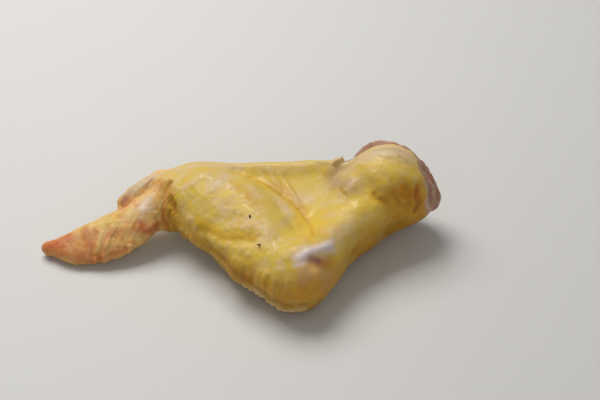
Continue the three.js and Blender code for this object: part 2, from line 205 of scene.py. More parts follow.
class Clay:
    """A mesh's points in millimetres, to be pressed, raised and painted."""

    def __init__(self, mesh):
        self.mesh = mesh
        self.points = self.read("vertices", "co") / MM
        self.normals = self.read("vertex_normals", "vector")
        self.paints = {}
        self.ragged = 0

    def read(self, what, key):
        """One vector of each of the mesh's vertices or normals."""
        items = getattr(self.mesh, what)
        flat = np.zeros(len(items) * 3, np.float32)
        items.foreach_get(key, flat)
        return flat.reshape(-1, 3).astype(float)

    def nearest(self, spot):
        return self.points[((self.points - spot) ** 2).sum(1).argmin()]

    def on_skin(self, bone, share, offset, height=None):
        """The place on the upper skin over a spot on a bone, or nearest to a height there."""
        x, y = bone.place(share, offset)
        if height is not None:
            return self.nearest((x, y, height))
        away = np.hypot(self.points[:, 0] - x, self.points[:, 1] - y)
        close = away < max(1.2, away.min() + 0.3)
        return np.array((x, y, self.points[close, 2].max()))

    def line(self, bone, places):
        """Places on a bone as places on the skin."""
        return [self.on_skin(bone, *place) for place in places]

    def distance(self, line):
        """How far each point is from a line of places."""
        nearest = np.full(len(self.points), np.inf)
        pairs = zip(line, line[1:]) if len(line) > 1 else [(line[0], line[0])]
        for start, end in pairs:
            run = end - start
            from_start = self.points - start
            share = np.clip(from_start @ run / max(run @ run, 1e-9), 0, 1)
            away = from_start - share[:, None] * run
            nearest = np.minimum(nearest, np.sqrt((away**2).sum(1)))
        return nearest

    def near(self, bone, places, width, ragged=0.0):
        """1 on a line of places, falling smoothly to almost 0 at twice its width."""
        away = self.distance(self.line(bone, places)) / width
        return bell(away * (1 + ragged * self.ragged), 1)

    def raise_by(self, height):
        """Moves each point out along its normal."""
        self.points += self.normals * np.asarray(height)[:, None]

    def stroke(self, bone, places, width, height):
        """A ridge along a line of places, or a groove where the height is negative."""
        self.raise_by(height * self.near(bone, places, width))

    def paint(self, name, amount):
        """Adds an amount of one paint, up to 1."""
        held = self.paints.get(name, 0)
        self.paints[name] = held + (1 - held) * np.clip(amount, 0, 1)

    def wipe(self, name, amount):
        """Takes away a share of one paint."""
        self.paints[name] = self.paints.get(name, 0) * (1 - np.clip(amount, 0, 1))

    def noise(self, scale, seed, where=None):
        """Smooth noise from about -1 to 1, with features of the given size."""
        found = np.zeros(len(self.points))
        rows = range(len(self.points)) if where is None else np.nonzero(where > 0.02)[0]
        shifted = self.points / scale + seed * 17.3
        for row in rows:
            found[row] = noise.noise(shifted[row])
        return found * 1.6

    def cells(self, scale, seed):
        """Distances to the nearest and the next cell centre, in cells."""
        found = np.zeros((len(self.points), 2))
        shifted = self.points / scale + seed * 9.1
        for row, place in enumerate(shifted):
            reach = noise.voronoi(place)[0]
            found[row] = reach[0], reach[1]
        return found

    def refresh(self):
        """Writes the points back and reads the new normals."""
        self.points[:, 2] = np.maximum(self.points[:, 2], 0)
        self.mesh.vertices.foreach_set("co", (self.points * MM).astype(np.float32).ravel())
        self.mesh.update()
        self.normals = self.read("vertex_normals", "vector")

    def keep_paints(self):
        """Saves each paint as an attribute of the mesh's points."""
        for name, amount in self.paints.items():
            layer = self.mesh.attributes.new(name, "FLOAT", "POINT")
            layer.data.foreach_set("value", np.clip(amount, 0, 1).astype(np.float32))


# Broad corrections of the solid's form: bone, places as (share of its length, offset to
# its leading side[, height]), width and height in millimetres.
SWELLS = [
    (FOREARM, [(0.568, -10.7, 12), (0.445, -13.1, 13)], 5.5, -3.4),
    (FOREARM, [(0.92, -6.3, 8.6)], 4, 1.4),
    (FOREARM, [(0.66, 22.5), (0.6, 22.8), (0.5, 21.8), (0.4, 19.3), (0.3, 16.6)], 3.6, 1.5),
    (FOREARM, [(0.24, 13.6), (0.17, 11)], 3.4, 0.9),
    (FOREARM, [(0.6, 24.2), (0.5, 24), (0.4, 22.6), (0.3, 20.4), (0.2, 17)], 3.2, 0.9),
    (UPPER_ARM, [(0.39, -10, 13), (0.58, -11, 13), (0.70, -10.5, 12), (0.80, -10.4, 12)], 6, -2.6),
    (UPPER_ARM, [(1.116, -10.7, 32.1), (1.123, -12.1, 30.4)], 5, -3.0),
    (UPPER_ARM, [(1.10, -14.7, 15)], 6, 2.4),
    (HAND, [(0.39, 3.4, 15)], 2.6, -1.8),
    (HAND, [(0.27, 6.0, 20), (0.18, 7.0, 22), (0.095, 6.0, 24)], 2.6, 0.8),
    (HAND, [(0.29, 3.6, 18), (0.20, 5.4, 20), (0.11, 7.0, 22)], 2.0, 1.0),
    (HAND, [(0.70, -3.0, 11)], 4, 0.6),
]

# Places that folds and zones of colour share.
CREASE = [
    (0.724, 24.7), (0.657, 25.6), (0.59, 26.5), (0.509, 26.7), (0.428, 26.6),
    (0.346, 25.8), (0.273, 24.6), (0.195, 22.2), (0.127, 19.0), (0.07, 15.0), (0.04, 12.6),
]
WEB_STRANDS = [
    [(0.641, 29.9), (0.583, 28.9), (0.525, 28.3), (0.444, 28.0)],
    [(0.604, 33.6), (0.52, 30.9), (0.41, 28.9), (0.305, 26.9)],
    [(0.533, 34.8), (0.442, 32.0), (0.37, 29.6), (0.273, 27.0)],
]
WEB_GROOVES = [
    [(0.607, 30.9), (0.528, 29.5), (0.447, 28.9), (0.381, 27.8)],
    [(0.547, 32.8), (0.459, 30.4), (0.361, 28.3), (0.289, 26.5), (0.22, 24.2)],
    [(0.496, 35.2), (0.395, 32.0), (0.309, 28.9), (0.216, 25.4)],
]
WRIST_FOLD = [
    (0.99, 1.5), (0.985, -2.0), (0.974, -4.8), (0.946, -7.2), (0.93, -8.8, 14.5),
    (0.916, -8.3, 11.4),
]
PITS = [
    [(0.925, -4.2), (0.905, -5.5)],
    [(0.880, -5.2), (0.866, -6.9)],
    [(0.908, -7.4), (0.892, -8.4)],
]
PIT_RINGS = [
    [(0.955, -3.0), (0.948, -5.2), (0.925, -7.0), (0.912, -8.9)],
    [(0.935, -2.6), (0.895, -3.8), (0.855, -5.0), (0.848, -7.0), (0.875, -8.4)],
    [(0.905, -6.2), (0.885, -7.2)],
]
THUMB_FOLD = [(0.36, 1.8), (0.30, 2.7), (0.24, 3.3), (0.176, 4.9), (0.113, 6.7)]
FLAT_FOLD = [(0.67, -7.3), (0.561, -7.4), (0.449, -7.6), (0.374, -6.0), (0.281, -3.8)]
GRISTLE = [(-0.04, -2.9), (0.025, -3.6), (0.079, -4.7), (0.133, -5.3), (0.205, -5.5)]
DIMPLE = [(0.014, -6.2), (0.03, -7.3), (0.047, -8.4), (0.083, -9.9)]
KNOB = [(-0.086, -8.1, 22.7), (-0.002, -10.2, 21.8), (0.037, -12.3, 17.6)]
ELBOW_RIM = [
    (0.24, -14.8, 7), (0.12, -14.6, 6.5), (0.02, -14.6, 6), (-0.06, -12.5, 6), (-0.13, -8.5, 5.5),
]
ELBOW_SHADE = [(0.13, -14.2, 12), (0.04, -14.6, 11), (-0.06, -12.5, 10.5), (-0.14, -8, 9.5)]
PALE_SKIN = [(0.80, 18.5), (0.85, 15.0), (0.88, 11), (0.94, 6.5), (0.985, 1.5), (1.01, -4.0)]
PALE_EDGE = [(0.81, 13.0), (0.81, 6.6), (0.86, 1.3), (0.92, -3.6), (0.965, -8.0)]
SHOULDER_LINE = [(0.972, -1.6), (0.978, -3.4), (0.98, -5.0), (0.978, -6.8)]
HOLLOWS = [
    [(0.695, -2.2), (0.688, -4.2), (0.712, -6.8), (0.725, -9.2)],
    [(0.768, -8.2), (0.776, -11.1), (0.79, -13.2)],
    [(0.87, -11.6), (0.85, -13.3), (0.83, -14.6)],
]
NOTCH = [(0.935, -12.0, 29.5), (0.905, -14.4, 27), (0.915, -15.4, 23.3), (0.885, -15.5, 20)]
TONGUE = [(0.971, -15, 26.9), (0.993, -16.1, 22.9), (0.956, -16.2, 20.1)]
STREAK = [(0.612, 12.4), (0.59, 10.0), (0.585, 7.2)]
RIM_FLAP = [(0.765, 23.4, 31.2), (0.79, 22.4, 31.5), (0.82, 21.3, 31.8)]

# Folds and ridges, in the same form as the swells. A fold's height is negative.
FOLDS = [
    (FOREARM, CREASE[3:7], 0.65, -0.7),
    (FOREARM, CREASE[1:5], 0.9, -0.35),
    (FOREARM, CREASE[6:10], 0.8, -0.6),
    *((FOREARM, strand, 0.75, 0.3) for strand in WEB_STRANDS),
    *((FOREARM, groove, 0.6, -0.55) for groove in WEB_GROOVES),
    (FOREARM, WRIST_FOLD, 0.75, -1.1),
    *((FOREARM, pit, 1.1, -1.2) for pit in PITS),
    *((FOREARM, ring, 0.8, 0.6) for ring in PIT_RINGS),
    (HAND, THUMB_FOLD, 0.65, -0.8),
    (HAND, [(0.33, -0.2), (0.27, 0.5), (0.20, 1.6)], 1.5, 0.4),
    (HAND, [(0.18, -3.0), (0.235, -6.6)], 3.2, 0.8),
    (HAND, [(0.24, -12.8, 12.5), (0.285, -12.4, 13)], 2.0, 0.7),
    (FOREARM, FLAT_FOLD, 1.3, 0.4),
    (FOREARM, ELBOW_SHADE, 1.2, -0.4),
    (UPPER_ARM, GRISTLE, 1.6, 0.6),
    (UPPER_ARM, DIMPLE, 0.95, -1.0),
    (UPPER_ARM, [(0.0, -11.2)], 3.2, 0.5),
    (UPPER_ARM, STREAK, 0.9, -0.45),
    (UPPER_ARM, [(0.66, 16), (0.70, 12), (0.655, 8.4)], 3.0, 0.5),
    (UPPER_ARM, HOLLOWS[0], 0.9, -1.0),
    (UPPER_ARM, HOLLOWS[1], 1.0, -0.8),
    (UPPER_ARM, HOLLOWS[2], 1.5, -0.6),
    (UPPER_ARM, [(0.80, 5.5), (0.77, 1.0), (0.76, -3.5)], 3.2, 0.8),
    (UPPER_ARM, [(0.85, 2.0), (0.84, -3.5), (0.86, -8.0)], 2.8, 0.6),
    (UPPER_ARM, [(0.66, -5.5), (0.68, -9.0), (0.69, -11.5)], 1.6, 0.7),
    (UPPER_ARM, [(0.815, -9.5), (0.815, -13)], 1.5, 0.45),
    (UPPER_ARM, PALE_EDGE, 1.5, 0.4),
    (UPPER_ARM, NOTCH, 1.1, -0.9),
    (UPPER_ARM, TONGUE, 1.5, 0.7),
    (UPPER_ARM, SHOULDER_LINE, 0.6, -0.7),
    (UPPER_ARM, [(0.90, 9.5), (0.885, 6.0), (0.91, 0.5)], 0.9, -0.25),
    (UPPER_ARM, RIM_FLAP, 0.65, 2.2),
]

# Small tags of loose skin: bone, place, radius and height in millimetres.
TAGS = [
    (HAND, (0.245, -13.3, 11.0), 0.7, 1.6),
    (HAND, (0.31, -14.6, 9.0), 0.6, 1.2),
    (HAND, (0.408, -15.4, 7.4), 0.55, 1.6),
    (FOREARM, (0.76, -9.2, 12.0), 0.8, 1.6),
    (FOREARM, (0.895, -7.6, 8.5), 0.7, 1.2),
    (UPPER_ARM, (0.785, 22.6, 31.5), 0.7, 1.5),
]

# Zones of colour, among them painted shade and a few painted highlights: paint, bone, places,
# width in millimetres and strength.
ZONES = [
    ("fat", FOREARM, [(0.55, 31), (0.35, 29), (0.15, 22)], 9, 0.9),
    ("fat", FOREARM, CREASE, 2.6, 0.8),
    ("fat", FOREARM, FLAT_FOLD, 3.0, 1.0),
    ("fat", FOREARM, [(0.6, -9), (0.4, -11), (0.2, -9)], 4.5, 0.8),
    ("fat", UPPER_ARM, [(0.2, 8), (0.5, 4), (0.66, -4)], 6, 0.7),
    ("fat", UPPER_ARM, PALE_EDGE, 2.2, 0.9),
    ("fat", UPPER_ARM, TONGUE, 2.0, 1.0),
    ("fat", HAND, [(0.40, -3.5), (0.55, -4.5), (0.70, -5.0)], 3.0, 0.6),
    ("pale", FOREARM, [(1.05, 8), (0.99, 13), (0.93, 17), (0.86, 21.5), (0.75, 27)], 2.6, 1.0),
    ("grey", FOREARM, [(0.74, 15.5), (0.71, 12.5), (0.735, 8.5)], 3.6, 0.7),
    ("pale", FOREARM, [(0.42, 22), (0.36, 20), (0.30, 18.5)], 3.4, 0.8),
    ("pale", FOREARM, [(0.56, 17.5), (0.47, 16.0)], 2.6, 0.7),
    ("pale", FOREARM, [(0.27, 3), (0.22, 2), (0.22, -2.5)], 2.6, 0.7),
    ("grey", FOREARM, [(0.585, 1.5), (0.54, 0.5)], 1.9, 0.5),
    ("grey", FOREARM, [(0.36, 22.5), (0.27, 18.0), (0.225, 10)], 1.9, 0.45),
    ("pale", FOREARM, [(0.83, 12.5), (0.86, 7)], 2.4, 0.5),
    ("pale", UPPER_ARM, PALE_SKIN, 5.0, 1.0),
    ("pale", UPPER_ARM, [(0.745, 21), (0.765, 23.4), (0.82, 21.3)], 3.0, 0.9),
    ("grey", UPPER_ARM, PALE_SKIN[2:], 3.0, 0.35),
    ("grey", UPPER_ARM, GRISTLE, 3.0, 0.7),
    ("gristle", UPPER_ARM, GRISTLE, 2.1, 0.85),
    ("gristle", UPPER_ARM, [(-0.09, -3.5), (-0.05, -5.0)], 1.1, 0.6),
    ("gristle", UPPER_ARM, [(0.20, -6.5)], 1.6, 0.7),
    ("grey", UPPER_ARM, [(0.56, -6.2), (0.50, -6.2), (0.45, -3.7)], 2.4, 0.3),
    ("grey", UPPER_ARM, [(0.41, 6.6)], 2.4, 0.4),
    ("grey", UPPER_ARM, [(0.48, 12.6), (0.55, 8.2)], 2.2, 0.35),
    ("grey", UPPER_ARM, [(0.66, 16), (0.70, 12), (0.655, 8.4)], 3.6, 0.4),
    # Painted shade over the grey dome on the drumette.
    ("hollow", UPPER_ARM, [(0.68, 19.5), (0.66, 15), (0.66, 11), (0.655, 8.5)], 4.4, 0.7),
    ("grey", UPPER_ARM, [(0.45, 25), (0.47, 20)], 2.6, 0.5),
    ("pale", UPPER_ARM, [(0.29, -2.5), (0.32, -4.6), (0.40, -4.4)], 3.2, 1.0),
    ("gristle", HAND, [(0.20, -2.6), (0.245, -6.0)], 3.0, 0.55),
    ("grey", HAND, [(0.36, 5.0), (0.25, 8.6), (0.12, 11)], 2.4, 0.9),
    # Pale along the hand's upper edge: pale skin, and partly a painted highlight on the edge.
    ("pale", HAND, [(0.35, -0.5), (0.5, 0.2), (0.66, -1.6)], 1.8, 0.7),
    # Painted shade, partly the real dark yellow-brown of skin over dark meat: in the drumette's
    # hollows and shoulder line, the wrist's pits, under the forearm's lower edge, along the
    # elbow's shade line and in the crease.
    ("ochre", UPPER_ARM, HOLLOWS[0], 2.4, 0.85),
    ("ochre", UPPER_ARM, HOLLOWS[1], 3.2, 0.9),
    ("ochre", UPPER_ARM, [(0.80, -10), (0.85, -13.5)], 3.8, 0.9),
    ("ochre", UPPER_ARM, HOLLOWS[2], 3.4, 0.9),
    ("hollow", UPPER_ARM, HOLLOWS[0], 0.9, 0.35),
    ("hollow", UPPER_ARM, HOLLOWS[1], 1.0, 0.45),
    ("hollow", UPPER_ARM, HOLLOWS[2], 1.8, 0.35),
    ("hollow", UPPER_ARM, SHOULDER_LINE, 0.6, 0.5),
    *(("hollow", FOREARM, pit, 1.1, 0.8) for pit in PITS),
    ("ochre", FOREARM, [(0.95, -3.5), (0.91, -6.0), (0.88, -8.6)], 3.4, 0.85),
    ("hollow", FOREARM, [(0.37, -14, 15), (0.29, -15, 14.5), (0.19, -14.5, 13.5)], 1.6, 0.5),
    ("ochre", FOREARM, [(0.37, -14, 15), (0.29, -15, 14.5), (0.19, -14.5, 13.5)], 2.6, 1.0),
    ("hollow", FOREARM, ELBOW_SHADE, 1.6, 0.45),
    ("ochre", FOREARM, CREASE, 0.7, 0.8),
    ("blush", FOREARM, CREASE[3:], 0.5, 0.15),
    # Pale on the web's strands, partly a painted highlight, and darker yellow-brown in the grooves
    # between them, painted shade.
    *(("pale", FOREARM, strand, 0.85, 0.55) for strand in WEB_STRANDS),
    *(("ochre", FOREARM, groove, 0.65, 0.75) for groove in WEB_GROOVES),
    # Darker yellow-brown on the flat's fold, in the notch and the streak and low on the elbow's
    # front: skin over dark meat and painted shade.
    ("ochre", FOREARM, FLAT_FOLD, 1.3, 0.5),
    ("ochre", UPPER_ARM, NOTCH, 1.9, 1.0),
    ("hollow", UPPER_ARM, NOTCH, 1.3, 0.5),
    ("blush", UPPER_ARM, NOTCH, 1.2, 0.4),
    ("ochre", UPPER_ARM, STREAK, 1.1, 0.5),
    ("ochre", UPPER_ARM, [(-0.10, -5.5, 17), (-0.05, -10, 15), (0.03, -13.5, 13)], 3.4, 0.5),
    ("fat", FOREARM, [(0.10, -12.5, 19), (0.0, -13.5, 17)], 3.0, 0.8),
    ("fat", UPPER_ARM, [(0.74, -12.4), (0.80, -14.5), (0.84, -17, 18)], 2.2, 0.9),
    ("pale", UPPER_ARM, KNOB, 3.6, 0.5),
    ("blush", UPPER_ARM, KNOB, 4.6, 0.36),
    ("blush", UPPER_ARM, [(0.05, -9.2), (0.12, -10.5)], 2.6, 0.35),
    ("bruise", UPPER_ARM, DIMPLE[:3], 1.4, 1.0),
    ("blush", UPPER_ARM, DIMPLE[2:], 0.9, 0.5),
    ("blush", UPPER_ARM, [(1.10, -4.3, 35.5), (1.07, -7.2, 34.5)], 1.4, 0.8),
    ("blush", FOREARM, WRIST_FOLD, 1.1, 0.6),
    ("blush", HAND, THUMB_FOLD, 0.8, 0.7),
    ("blush", HAND, [(0.298, 0.6)], 0.8, 0.9),
    ("blush", HAND, [(0.38, -2.0)], 0.8, 0.8),
    ("blush", HAND, [(0.09, -1), (0.085, 3)], 2.2, 0.45),
    ("blush", HAND, [(0.17, -11.4, 13), (0.25, -13.0, 12.3), (0.30, -12, 14)], 2.6, 0.85),
    ("blush", HAND, [(1.03, -3.4), (0.92, -5.0)], 5.5, 0.9),
    ("blush", HAND, [(0.84, -5.0), (0.72, -10)], 4.0, 0.5),
    ("pale", HAND, [(0.33, -6), (0.45, -10.5), (0.58, -11), (0.68, -8)], 3.6, 0.95),
    ("blush", HAND, [(0.45, -15.5, 7), (0.62, -16, 5), (0.78, -14.5, 4)], 2.2, 0.5),
    ("blush", HAND, [(0.78, -14, 6), (0.88, -11, 6), (0.97, -7, 6)], 3.4, 0.5),
    ("blush", HAND, [(0.40, 2.8, 16.0), (0.34, 4.5, 17)], 2.4, 0.7),
    ("grey", HAND, [(0.27, 6.2), (0.15, 7.4), (0.05, 8)], 2.2, 0.8),
    ("blush", FOREARM, [(0.583, 3.5), (0.458, 8.6), (0.43, 13)], 3.0, 0.13),
    ("blush", FOREARM, [(0.62, 13.4), (0.52, 11.5)], 3.4, 0.16),
    # Painted shade, darker where the flat catches the light.
    ("blush", FOREARM, [(0.43, -1.2), (0.34, 0.0)], 3.4, 0.2),
    ("ochre", UPPER_ARM, [(0.14, 1.8), (0.25, 0.2)], 3.4, 0.25),
    # Painted light: paler under the web's rim, where it lies in shade.
    ("pale", FOREARM, [(0.645, 32.8), (0.54, 36), (0.45, 41.4)], 3.2, 0.5),
]


# Large follicles in rows: bone, places, spacing as a share of the quill spacing, radius,
# height and unevenness in millimetres.
FOLLICLE_ROWS = [
    (FOREARM, [(0.80, -8.2, 15), (0.71, -9.4, 13), (0.63, -10.4, 11.5), (0.51, -12.6, 11),
               (0.41, -14, 12), (0.30, -15, 12.5)], 0.72, 1.25, 1.25, 0.4),
    (FOREARM, [(0.26, -14.8, 7.5), (0.12, -14.6, 7.0), (0.02, -14.6, 6.5),
               (-0.06, -12.5, 6.5), (-0.13, -8.5, 6)], 0.62, 1.2, 1.2, 0.4),
    (FOREARM, [(0.76, -6.9), (0.66, -8.6), (0.52, -10.0), (0.38, -10.8), (0.22, -10.5)],
     0.85, 1.4, 0.6, 0.6),
    (FOREARM, [(0.72, -4.2), (0.5, -4.6), (0.36, -3.0), (0.2, -0.5)], 0.8, 1.0, 0.2, 0.8),
    (HAND, [(0.30, -14, 10), (0.40, -16, 7), (0.55, -17, 5), (0.70, -16, 4),
            (0.82, -13, 4)], 0.55, 0.95, 0.75, 0.4),
]
# A follicle's pore, and the stain in it, as shares of the mound.
PORE_DEPTH, PORE_RADIUS, PORE_STAIN = 0.3, 0.35, 0.3

# Ribs of fat on the elbow: how many, and as shares of the forearm, the first one's place,
# their spacing and how far beside each one its groove lies.
RIBS, FIRST_RIB, RIB_SPACING, RIB_GROOVE = 9, 0.32, 0.047, 0.024

# Pleats on the hand: how many, the shares of the hand between which they start, and how
# far beside each one its fold lies, in millimetres.
PLEATS, PLEATED, PLEAT_FOLD = 13, (0.27, 0.69), 1.4

# Flecks on the hand: paint, how many, and the least and the most of it.
FLECKS = [("blush", 20, 0.2, 0.6), ("pale", 16, 0.3, 0.8), ("fat", 16, 0.4, 0.95)]

# Wrinkles round the wrist, in millimetres.
WRINKLE_SPACING, WRINKLE_HEIGHT = 2.3, 0.2

# The cut face, in millimetres: the size of the bundles of meat and the depth of the seams
# between them and of the groove round the bone's head.
BUNDLE_SIZE, SEAM_DEPTH, HEAD_GROOVE_DEPTH = 6.5, 0.35, 0.6

# The soft relief's two sizes of lumps, in millimetres, and the height of the finer one.
LUMP_SIZE, FINE_LUMP_SIZE, FINE_LUMP_HEIGHT = 6.5, 2.4, 0.08


def copy_of_solid():
    """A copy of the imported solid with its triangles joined, as a new object."""
    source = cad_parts[SOLID]
    piece = source.copy()
    piece.data = source.data.copy()
    piece.name = piece.data.name = PIECE
    for key in list(piece.keys()):
        del piece[key]
    piece.parent = None
    bpy.context.scene.collection.objects.link(piece)
    take(piece)
    piece.data.materials.clear()
    bpy.ops.object.mode_set(mode="EDIT")
    bpy.ops.mesh.select_all(action="SELECT")
    bpy.ops.mesh.remove_doubles(threshold=0.00001)
    bpy.ops.object.mode_set(mode="OBJECT")
    return piece


def take(piece):
    """Makes one object the selected and active one."""
    bpy.ops.object.select_all(action="DESELECT")
    piece.select_set(True)
    bpy.context.view_layer.objects.active = piece


def modify(piece, kind, **settings):
    """Adds a modifier with its settings and applies it."""
    take(piece)
    modifier = piece.modifiers.new(kind.title(), kind)
    for key, value in settings.items():
        setattr(modifier, key, value)
    bpy.ops.object.modifier_apply(modifier=modifier.name)


def mound(clay, spot, radius, height):
    """A follicle of a large feather: a pale mound with a pore in it."""
    reach = clay.distance([clay.nearest(spot)])
    swell = bell(reach, radius)
    clay.raise_by(height * swell)
    clay.raise_by(-height * PORE_DEPTH * bell(reach, radius * PORE_RADIUS))
    clay.paint("pale", 0.55 * swell)
    clay.wipe("ochre", 0.5 * swell)
    clay.paint("pore", 0.6 * bell(reach, radius * PORE_STAIN))


def mound_row(clay, places, spacing, radius, height, unevenness):
    """Follicles in a row along a line of places."""
    line = [clay.on_skin(*place) for place in places]
    steps = [np.linalg.norm(b - a) for a, b in zip(line, line[1:])]
    count = max(2, round(sum(steps) / spacing))
    for number in range(count):
        along, index = (number + 0.5) / count * sum(steps), 0
        while along > steps[index]:
            along -= steps[index]
            index += 1
        spot = line[index] + (line[index + 1] - line[index]) * along / steps[index]
        spot = spot + np.array([random.uniform(-1, 1) * unevenness for _ in range(3)])
        size = random.uniform(0.75, 1.2)
        mound(clay, spot, radius * size, height * size)


def press_folds(clay):
    """The broad corrections, then the folds."""
    for strokes in (SWELLS, FOLDS):
        for bone, places, width, height in strokes:
            clay.stroke(bone, places, width, height)
        clay.refresh()


def pull_tags(clay):
    """Small tags of loose skin, drawn out into points."""
    for bone, place, radius, height in TAGS:
        tip = clay.near(bone, [place], radius)
        clay.raise_by(height * tip)
        clay.paint("pale", 0.4 * tip)


def rib_elbow(clay):
    """Upright ribs of fat on the front of the elbow, with painted shade in the grooves beside
    them.
    """
    for number in range(RIBS):
        share = FIRST_RIB - RIB_SPACING * number + random.uniform(-0.017, 0.017)
        top, foot = random.uniform(17, 21), random.uniform(10.5, 13)
        lean = random.uniform(-0.025, 0.02)
        places = [(share, -11.8, top), (share + lean, -14.2, 15.5), (share + lean, -15, foot)]
        clay.stroke(FOREARM, places, random.uniform(0.9, 1.5), random.uniform(0.1, 0.5))
        clay.paint("pale", random.uniform(0, 0.4) * clay.near(FOREARM, places, 1.0, 0.4))
        beside = [(place[0] - RIB_GROOVE, *place[1:]) for place in places]
        clay.stroke(FOREARM, beside, 0.7, -random.uniform(0, 0.3))
        # Painted shade in the groove beside the rib.
        clay.paint("hollow", random.uniform(0, 0.35) * clay.near(FOREARM, beside, 0.7, 0.4))


def raise_quill_follicles(clay):
    """Rows of large follicles along the trailing side of the forearm and the hand."""
    spacing = sizes().quill_spacing / MM
    for bone, places, pace, radius, height, unevenness in FOLLICLE_ROWS:
        line = [(bone, *place) for place in places]
        mound_row(clay, line, spacing * pace, radius, height, unevenness)


def pleat_hand(clay):
    """Uneven pleats of skin that run down to the hand's lower edge."""
    first, last = PLEATED
    for number in range(PLEATS):
        share = (number + random.uniform(-0.4, 0.4)) / (PLEATS - 1)
        start = first + (last - first) * share
        lean = np.interp(start, (0.3, 0.5, 0.7), (-1.2, -0.8, -0.1))
        top = random.uniform(-6.5, -11.5)
        offsets = (top, (top + HAND_LOWER_EDGE) / 2, HAND_LOWER_EDGE)
        bow = random.uniform(-0.6, 0.6)
        places = [
            (start + ((offset - top) * lean + bow * (index == 1)) / HAND.length, offset)
            for index, offset in enumerate(offsets)
        ]
        foot = (places[-1][0] + random.uniform(-0.01, 0.02), -16.2, random.uniform(1.5, 3.5))
        places.append(foot)
        beside = [(place[0] + PLEAT_FOLD / HAND.length, *place[1:]) for place in places]
        width, height = random.uniform(0.55, 0.95), random.uniform(0.4, 0.95)
        clay.stroke(HAND, places, width, height)
        clay.paint("pale", random.uniform(0.1, 0.95) * clay.near(HAND, places, width, 0.3))
        clay.stroke(HAND, beside, 0.55, -random.uniform(0.2, 0.45))
        clay.paint("blush", random.uniform(0.2, 0.65) * clay.near(HAND, beside, 0.8, 0.3))


def fleck_hand(clay):
    """Small red, pale and yellow flecks over the hand."""
    for paint, count, low, high in FLECKS:
        for _ in range(count):
            spot = [(random.uniform(0.28, 0.95), random.uniform(-12, -1))]
            width = random.uniform(0.7, 1.8)
            amount = random.uniform(low, high)
            clay.paint(paint, amount * clay.near(HAND, spot, width, 0.5))


def wrap_wrist(clay):
    """Fine wrinkles that ring the wrist and the root of the hand, with painted shade in their
    troughs.
    """
    along, offset = FOREARM.measure(clay.points)
    share = along / FOREARM.length
    zone = smoothly(0.84, 0.89, share) * (1 - smoothly(0.96, 1.0, share))
    zone *= 1 - smoothly(-4, 0, offset)
    wander = clay.noise(5, 5, zone)
    turns = along / WRINKLE_SPACING + 0.08 * offset + wander * 0.8
    ripple = np.cos(turns * 2 * math.pi)
    clay.raise_by(zone * WRINKLE_HEIGHT * ripple)
    # Painted shade in the troughs of the wrinkles.
    clay.paint("hollow", zone * np.clip(-ripple, 0, 1) * 0.4)


def cut_shoulder(clay):
    """The skin has drawn back from the cut, over a thin layer that ends in a pale lip."""
    reach = clay.points - CUT_CENTRE
    under = reach @ UNDER_EDGE_FACING + UNDER_EDGE_BACK
    drawn = (clay.points - SKIN_EDGE) @ SKIN_EDGE_FACING
    high = smoothly(9, 24, clay.points[:, 2])
    wander = clay.noise(8, 8, bell(drawn, 9))
    edge = under + (drawn - under) * high + wander * 0.7
    height = sizes().skin_lip / MM
    band = smoothly(0.0, 0.8, edge) * (1 - smoothly(-1.8, -0.9, under))
    clay.raise_by(height * (0.5 * bell(edge + 1.0, 0.9) - 1.1 * band))
    lip = bell(under + 0.6, 1.0)
    clay.raise_by(height * 0.25 * lip)
    meat = smoothly(0.1, 0.6, edge)
    clay.paint("meat", meat)

    head = CUT_CENTRE - CUT_FACING * BONE_HEAD_SUNK
    from_head = np.linalg.norm(clay.points - head, axis=1) - BONE_HEAD_RADIUS
    bone = 1 - smoothly(0.3, 1.0, from_head)
    clay.paint("bone", bone * meat)
    clay.raise_by(-HEAD_GROOVE_DEPTH * bell(from_head - 1.2, 0.8) * meat)

    open_meat = smoothly(0.2, 0.8, under) * (1 - bone)
    bundles = clay.cells(BUNDLE_SIZE, 2)
    seams = bell(bundles[:, 1] - bundles[:, 0], 0.16)
    angle = np.arctan2(reach[:, 2], reach[:, 0])
    grain = 0.1 * np.cos(angle * 60 + reach @ CUT_FACING * 3)
    clay.raise_by(open_meat * (-SEAM_DEPTH * seams + grain))
    clay.paint("sinew", open_meat * seams * 0.35)
    clay.paint("sinew", (0.5 + 0.3 * wander) * lip * meat)
    right = smoothly(72, 78, clay.points[:, 0])
    clay.paint("sinew", 0.8 * right * bell(edge - 1.5, 1.5) * meat)
    clay.paint("pale", 0.5 * bell(edge + 0.8, 1.0))


def lump_skin(clay):
    """Soft lumps of fat under the skin, and goosebumps over them."""
    skin = 1 - clay.paints["meat"]
    dappled = clay.paints["dappled"]
    lumps = sizes().lump_height / MM
    clay.raise_by(skin * clay.noise(LUMP_SIZE, 1) * lumps * (0.3 + 0.7 * dappled))
    fine = clay.noise(FINE_LUMP_SIZE, 4) * FINE_LUMP_HEIGHT
    clay.raise_by(skin * fine * (0.4 + 0.6 * dappled))
    cells = clay.cells(sizes().goosebump_spacing / MM, 1)
    bump = smoothly(0, 1, 1 - cells[:, 0] / 0.42)
    patchy = np.clip(0.65 + clay.noise(14, 6) * 0.6, 0.15, 1)
    amount = skin * patchy * (0.25 + 0.75 * dappled)
    clay.raise_by(amount * bump * sizes().goosebump_height / MM)
    clay.paint("goosebump", amount * bump)
    clay.paint("pore", 0.35 * amount * np.clip(1 - cells[:, 0] / 0.13, 0, 1))


